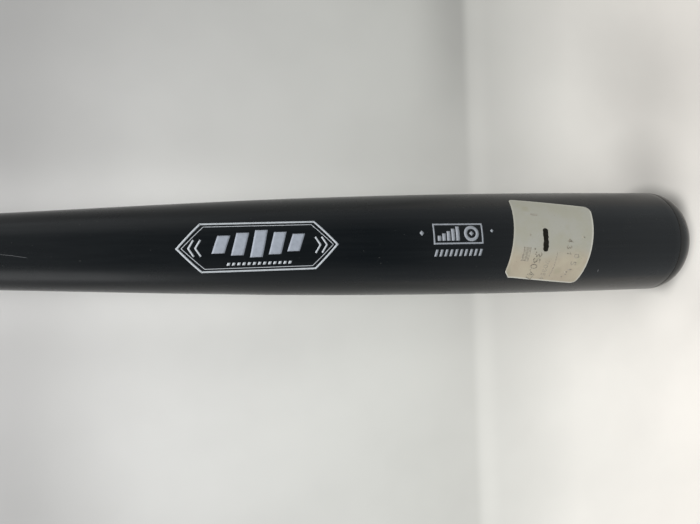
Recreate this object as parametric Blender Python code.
"""Composite wood baseball bat, in metres, lying along +X with +Z up.

The origin is the centre of the knob's flat end face, and the barrel's nose is at x = BAT_LENGTH.
From the inside out, the bat is a foam barrel core and a dense handle core, three fibre sleeves and
twelve long ash staves. A domed cap closes the barrel, a turned knob sits on the handle's tenon, and a
paper price label is stuck on top of the barrel.
"""

import math
from bisect import bisect_right

import bmesh
import bpy

INCH = 0.0254
MM = 0.001

# Glued faces stand this far apart, because each piece is a solid of its own
GLUE_GAP = 0.3 * MM

BAT_LENGTH = 33 * INCH
BARREL_RADIUS = 1.25 * INCH
HANDLE_RADIUS = 12.1 * MM

# Where the skin of staves ends, measured from the knob's face and from the barrel's nose
KNOB_LENGTH = 30 * MM
NOSE_LENGTH = 17.5 * MM

# Distance from the barrel's nose, and the bat's outer radius there
OUTLINE = (
    (NOSE_LENGTH, BARREL_RADIUS),
    (50 * MM, 31.65 * MM),
    (100 * MM, 31.2 * MM),
    (150 * MM, 30.35 * MM),
    (200 * MM, 29.1 * MM),
    (260 * MM, 26.9 * MM),
    (330 * MM, 23.3 * MM),
    (420 * MM, 18.3 * MM),
    (520 * MM, 14.4 * MM),
    (600 * MM, 12.8 * MM),
    (680 * MM, HANDLE_RADIUS),
    (750 * MM, HANDLE_RADIUS),
    (BAT_LENGTH - KNOB_LENGTH, 14.3 * MM),
)

STAVE_COUNT = 12
STAVE_THICKNESS = 3.0 * MM
FACETS_PER_STAVE = 3

# Outline points further apart than this get a ring of vertices halfway between them too
LONGEST_SPAN = 55 * MM

SLEEVE_NAMES = ("outer_fibre_sleeve", "middle_fibre_sleeve", "inner_fibre_sleeve")
SLEEVE_THICKNESS = 0.7 * MM
INNER_FACETS = 24

# The tenon is the stub of handle core and sleeves that the knob is glued over
TENON_START = 12.5 * MM

# The two cores meet here, and the handle core's spigot reaches on into the foam
CORE_JOINT = 430 * MM
CORE_SPIGOT_RADIUS = 6.0 * MM
CORE_SPIGOT_LENGTH = 40 * MM

# The foam's wall round the cavity, and how far the cavity reaches back from the nose
CAVITY_WALL = 7.0 * MM
CAVITY_DEPTH = 350 * MM

CAP_NOSE_RADIUS = 9.0 * MM
CAP_DOME_LENGTH = 16.6 * MM
CAP_DOME_STEPS = 9
CAP_WALL = 4.0 * MM
CAP_SPIGOT_RADIUS = 17.4 * MM
CAP_SPIGOT_LENGTH = 20 * MM
CAP_SPIGOT_WALL = 3.0 * MM
CAP_INNER_CORNER = 4.0 * MM

KNOB_RADIUS = 25 * MM
KNOB_FACE_RADIUS = 15 * MM
KNOB_EDGE_LENGTH = 9 * MM
KNOB_LAND_LENGTH = 2 * MM
KNOB_NECK_LENGTH = 14 * MM
# The neck widens this much for each unit of length towards the knob, as the handle does
KNOB_NECK_FLARE = 0.04
KNOB_EDGE_STEPS = 5
KNOB_NECK_STEPS = 8

LABEL_FROM_NOSE = 104.8 * MM
LABEL_OFFSET = 0.9 * MM
LABEL_WIDTH = 51.0 * MM
LABEL_HEIGHT = 51.7 * MM
LABEL_CORNER = 4.0 * MM
LABEL_TURN = math.radians(-9.1)
LABEL_THICKNESS = 0.2 * MM
LABEL_CELLS = 12

SMOOTH_BELOW = math.radians(35)


def clear_scene():
    """Removes whatever the scene holds at the start."""
    for thing in list(bpy.data.objects):
        bpy.data.objects.remove(thing, do_unlink=True)


def finish_of(name, colour, roughness, metallic=0.0):
    """A material with a Principled shader of that colour."""
    material = bpy.data.materials.new(name)
    material.use_nodes = True
    shader = material.node_tree.nodes["Principled BSDF"]
    shader.inputs["Base Color"].default_value = (*colour, 1.0)
    shader.inputs["Roughness"].default_value = roughness
    shader.inputs["Metallic"].default_value = metallic
    material.diffuse_color = (*colour, 1.0)
    return material


def outline_slope(index):
    """The outline's slope at one of its points, weighted towards the nearer neighbour."""
    before = max(index - 1, 0)
    after = min(index + 1, len(OUTLINE) - 1)
    here, radius = OUTLINE[index]
    rises = []
    for place, other in (OUTLINE[before], OUTLINE[after]):
        if place != here:
            rises.append(((other - radius) / (place - here), abs(place - here)))
    total = sum(1 / run for _, run in rises)
    return sum(rise / run for rise, run in rises) / total


def skin_radius(x):
    """The bat's outer radius at x, on a smooth curve through the outline's points."""
    from_nose = BAT_LENGTH - max(x, KNOB_LENGTH)
    places = [place for place, _ in OUTLINE]
    left = min(max(bisect_right(places, from_nose) - 1, 0), len(OUTLINE) - 2)
    (start, start_radius), (end, end_radius) = OUTLINE[left], OUTLINE[left + 1]
    span = end - start
    t = (from_nose - start) / span
    rise_in = outline_slope(left) * span
    rise_out = outline_slope(left + 1) * span
    return (
        (2 * t**3 - 3 * t**2 + 1) * start_radius
        + (t**3 - 2 * t**2 + t) * rise_in
        + (3 * t**2 - 2 * t**3) * end_radius
        + (t**3 - t**2) * rise_out
    )


def places_between(start, end, steps):
    """Evenly spaced numbers from start to end, both included."""
    return [start + (end - start) * i / steps for i in range(steps + 1)]


def rings_between(start, end):
    """Where the skin and the layers under it have their rings of vertices, from start to end."""
    places = [BAT_LENGTH - from_nose for from_nose, _ in OUTLINE][::-1]
    rings = list(places)
    for place, following in zip(places, places[1:]):
        if following - place > LONGEST_SPAN:
            rings.append((place + following) / 2)
    inside = [x for x in sorted(rings) if start + MM < x < end - MM]
    return [start, *inside, end]


def link(name, mesh, material):
    """Puts a mesh in the scene as a named object with its finish, round faces shaded smooth."""
    thing = bpy.data.objects.new(name, mesh)
    bpy.context.scene.collection.objects.link(thing)
    if not mesh.materials:
        mesh.materials.append(material)
        mesh.shade_smooth()
        mesh.set_sharp_from_angle(angle=SMOOTH_BELOW)
    return thing


def turned(name, profile, facets, material):
    """Turns a profile of (x, radius) points about the X axis into a closed solid.

    The profile is a loop, or runs from one point on the axis to another.
    """
    shape = bmesh.new()
    # Half a facet of turn lays a flat at the very bottom, where the bat rests
    half = math.pi / facets
    points = []
    for x, radius in profile:
        points.append(shape.verts.new((x, radius * math.sin(half), radius * math.cos(half))))
    edges = [shape.edges.new(pair) for pair in zip(points, points[1:])]
    if profile[0][1] > 0:
        edges.append(shape.edges.new((points[-1], points[0])))
    bmesh.ops.spin(
        shape,
        geom=points + edges,
        cent=(0, 0, 0),
        axis=(1, 0, 0),
        angle=2 * math.pi,
        steps=facets,
        use_merge=True,
    )
    bmesh.ops.remove_doubles(shape, verts=shape.verts, dist=1e-6)
    bmesh.ops.recalc_face_normals(shape, faces=shape.faces)
    mesh = bpy.data.meshes.new(name)
    shape.to_mesh(mesh)
    shape.free()
    return link(name, mesh, material)


def stave_section(x):
    """One stave's cross-section at x, as a loop of points round the top of the bat."""
    outer = skin_radius(x)
    inner = outer - STAVE_THICKNESS
    half_width = math.pi / STAVE_COUNT
    section = []
    for radius, direction in ((outer, 1), (inner, -1)):
        # The sides stand back from their neighbours by an even gap, and not by an even angle
        side = half_width - math.asin(GLUE_GAP / 2 / radius)
        between = places_between(-half_width, half_width, FACETS_PER_STAVE)[1:-1]
        for angle in (-side, *between, side):
            angle *= direction
            section.append((x, radius * math.sin(angle), radius * math.cos(angle)))
    return section


def make_staves(material):
    """The skin: tapered staves that lie side by side round the bat, all of one shape."""
    start = KNOB_LENGTH + GLUE_GAP
    end = BAT_LENGTH - NOSE_LENGTH - GLUE_GAP
    shape = bmesh.new()
    rings = []
    for x in rings_between(start, end):
        rings.append([shape.verts.new(point) for point in stave_section(x)])
    for ring, following in zip(rings, rings[1:]):
        for i in range(len(ring)):
            after = (i + 1) % len(ring)
            shape.faces.new((ring[i], ring[after], following[after], following[i]))
    last = len(rings[0]) - 1
    for ring in (rings[0], rings[-1]):
        for i in range(last // 2):
            shape.faces.new((ring[i], ring[i + 1], ring[last - i - 1], ring[last - i]))
    bmesh.ops.recalc_face_normals(shape, faces=shape.faces)
    mesh = bpy.data.meshes.new("veneer_stave")
    shape.to_mesh(mesh)
    shape.free()
    for i in range(STAVE_COUNT):
        stave = link(f"veneer_stave_{i + 1:02d}", mesh, material)
        stave.rotation_euler.x = 2 * math.pi * i / STAVE_COUNT


def layer_depth(layer):
    """How far below the skin's surface a layer's outside lies: 0 for the outer sleeve, 3 for the cores."""
    return STAVE_THICKNESS + GLUE_GAP + layer * (SLEEVE_THICKNESS + GLUE_GAP)


def layer_points(start, end, depth):
    """Points (x, radius) at one depth below the skin, from start to end."""
    return [(x, skin_radius(x) - depth) for x in rings_between(start, end)]


def make_sleeves(material):
    """Three sleeves of resin-bonded fibre, from the tenon's end to the cap's joint."""
    for layer, name in enumerate(SLEEVE_NAMES):
        depth = layer_depth(layer)
        end = BAT_LENGTH - NOSE_LENGTH - GLUE_GAP
        outside = layer_points(TENON_START, end, depth)
        inside = layer_points(TENON_START, end, depth + SLEEVE_THICKNESS)
        turned(name, outside + inside[::-1], INNER_FACETS, material)


def make_handle_core(material):
    """The dense rod in the handle, with its spigot for the barrel core."""
    body = layer_points(TENON_START, CORE_JOINT, layer_depth(len(SLEEVE_NAMES)))
    spigot_end = CORE_JOINT + CORE_SPIGOT_LENGTH
    spigot = [(CORE_JOINT, CORE_SPIGOT_RADIUS), (spigot_end, CORE_SPIGOT_RADIUS), (spigot_end, 0)]
    turned("handle_core", [(TENON_START, 0), *body, *spigot], INNER_FACETS, material)


def make_barrel_core(material):
    """The foam core, with a socket for the handle core's spigot and a cavity open at the cap."""
    depth = layer_depth(len(SLEEVE_NAMES))
    start = CORE_JOINT + GLUE_GAP
    end = BAT_LENGTH - NOSE_LENGTH - GLUE_GAP
    outside = layer_points(start, end, depth)
    seat_radius = CAP_SPIGOT_RADIUS + GLUE_GAP
    seat_start = end - CAP_SPIGOT_LENGTH - CAP_WALL
    cavity_start = BAT_LENGTH - CAVITY_DEPTH
    cavity = layer_points(cavity_start, seat_start, depth + CAVITY_WALL)
    cavity_tip = (cavity_start - cavity[0][1], 0)
    socket_radius = CORE_SPIGOT_RADIUS + GLUE_GAP
    socket_end = CORE_JOINT + CORE_SPIGOT_LENGTH + GLUE_GAP
    socket = [(socket_end, 0), (socket_end, socket_radius), (start, socket_radius)]
    mouth = [(end, seat_radius), (seat_start, seat_radius)]
    profile = [*socket, *outside, *mouth, *cavity[::-1], cavity_tip]
    turned("barrel_core", profile, INNER_FACETS, material)


def make_end_cap(material):
    """The moulded cap: a hollow dome with a tubular spigot that plugs the cavity's mouth."""
    joint = BAT_LENGTH - NOSE_LENGTH
    rim_radius = skin_radius(joint)
    dome_start = BAT_LENGTH - CAP_DOME_LENGTH
    profile = [(BAT_LENGTH, 0)]
    for angle in places_between(0, math.pi / 2, CAP_DOME_STEPS):
        x = dome_start + CAP_DOME_LENGTH * math.cos(angle)
        radius = CAP_NOSE_RADIUS + (rim_radius - CAP_NOSE_RADIUS) * math.sin(angle)
        profile.append((x, radius))
    bore = CAP_SPIGOT_RADIUS - CAP_SPIGOT_WALL
    crown = BAT_LENGTH - CAP_WALL
    profile += [
        (joint, rim_radius),
        (joint, CAP_SPIGOT_RADIUS),
        (joint - CAP_SPIGOT_LENGTH, CAP_SPIGOT_RADIUS),
        (joint - CAP_SPIGOT_LENGTH, bore),
        (crown - CAP_INNER_CORNER, bore),
        (crown, bore - CAP_INNER_CORNER),
        (crown, 0),
    ]
    turned("end_cap", profile, STAVE_COUNT * FACETS_PER_STAVE, material)


def make_knob(material):
    """The turned knob: flat face, rounded edge, hollowed neck and a socket for the tenon."""
    profile = [(0, 0)]
    for angle in places_between(0, math.pi / 2, KNOB_EDGE_STEPS):
        x = KNOB_EDGE_LENGTH * (1 - math.cos(angle))
        radius = KNOB_FACE_RADIUS + (KNOB_RADIUS - KNOB_FACE_RADIUS) * math.sin(angle)
        profile.append((x, radius))
    neck_start = KNOB_EDGE_LENGTH + KNOB_LAND_LENGTH
    neck_radius = skin_radius(KNOB_LENGTH)
    for t in places_between(0, 1, KNOB_NECK_STEPS):
        x = neck_start + KNOB_NECK_LENGTH * t
        neck = neck_radius + KNOB_NECK_FLARE * (KNOB_LENGTH - x)
        profile.append((x, neck + (KNOB_RADIUS - neck) * (1 + math.cos(math.pi * t)) / 2))
    profile.append((KNOB_LENGTH, neck_radius))
    socket_radius = neck_radius - STAVE_THICKNESS
    socket_end = TENON_START - GLUE_GAP
    profile += [(KNOB_LENGTH, socket_radius), (socket_end, socket_radius), (socket_end, 0)]
    turned("knob", profile, STAVE_COUNT * FACETS_PER_STAVE, material)


def label_point(across, up):
    """A point of the label's own flat sheet, turned and laid on the barrel just clear of the skin."""
    along = across * math.cos(LABEL_TURN) - up * math.sin(LABEL_TURN)
    around = across * math.sin(LABEL_TURN) + up * math.cos(LABEL_TURN) + LABEL_OFFSET
    x = BAT_LENGTH - LABEL_FROM_NOSE + along
    radius = skin_radius(x) + GLUE_GAP
    angle = around / radius
    return (x, radius * math.sin(angle), radius * math.cos(angle))


def make_label(material):
    """The paper price label, a thin sheet with rounded corners that follows the barrel."""
    shape = bmesh.new()
    columns = []
    straight = LABEL_WIDTH / 2 - LABEL_CORNER
    for angle in places_between(-math.pi / 2, math.pi / 2, LABEL_CELLS):
        # The columns crowd towards both sides, where the corners round off
        across = LABEL_WIDTH / 2 * math.sin(angle)
        past = max(abs(across) - straight, 0)
        half_height = LABEL_HEIGHT / 2 - LABEL_CORNER + math.sqrt(LABEL_CORNER**2 - past**2)
        ups = places_between(-half_height, half_height, LABEL_CELLS)
        columns.append([shape.verts.new(label_point(across, up)) for up in ups])
    for column, following in zip(columns, columns[1:]):
        for i in range(LABEL_CELLS):
            shape.faces.new((column[i], following[i], following[i + 1], column[i + 1]))
    mesh = bpy.data.meshes.new("price_label")
    shape.to_mesh(mesh)
    shape.free()
    label = link("price_label", mesh, material)
    paper = label.modifiers.new("paper_thickness", "SOLIDIFY")
    paper.thickness = LABEL_THICKNESS
    paper.offset = 1.0


def build():
    """Makes the bat from the inside out."""
    clear_scene()
    make_barrel_core(finish_of("rigid_foam", (0.76, 0.66, 0.42), 0.85))
    make_handle_core(finish_of("dense_core", (0.52, 0.36, 0.20), 0.60))
    make_sleeves(finish_of("bonded_fibre", (0.55, 0.50, 0.30), 0.45))
    make_staves(finish_of("lacquered_ash", (0.009, 0.010, 0.011), 0.28))
    make_end_cap(finish_of("moulded_cap", (0.012, 0.012, 0.012), 0.34))
    make_knob(finish_of("lacquered_knob", (0.009, 0.010, 0.011), 0.28))
    make_label(finish_of("label_paper", (0.42, 0.40, 0.34), 0.75))


build()
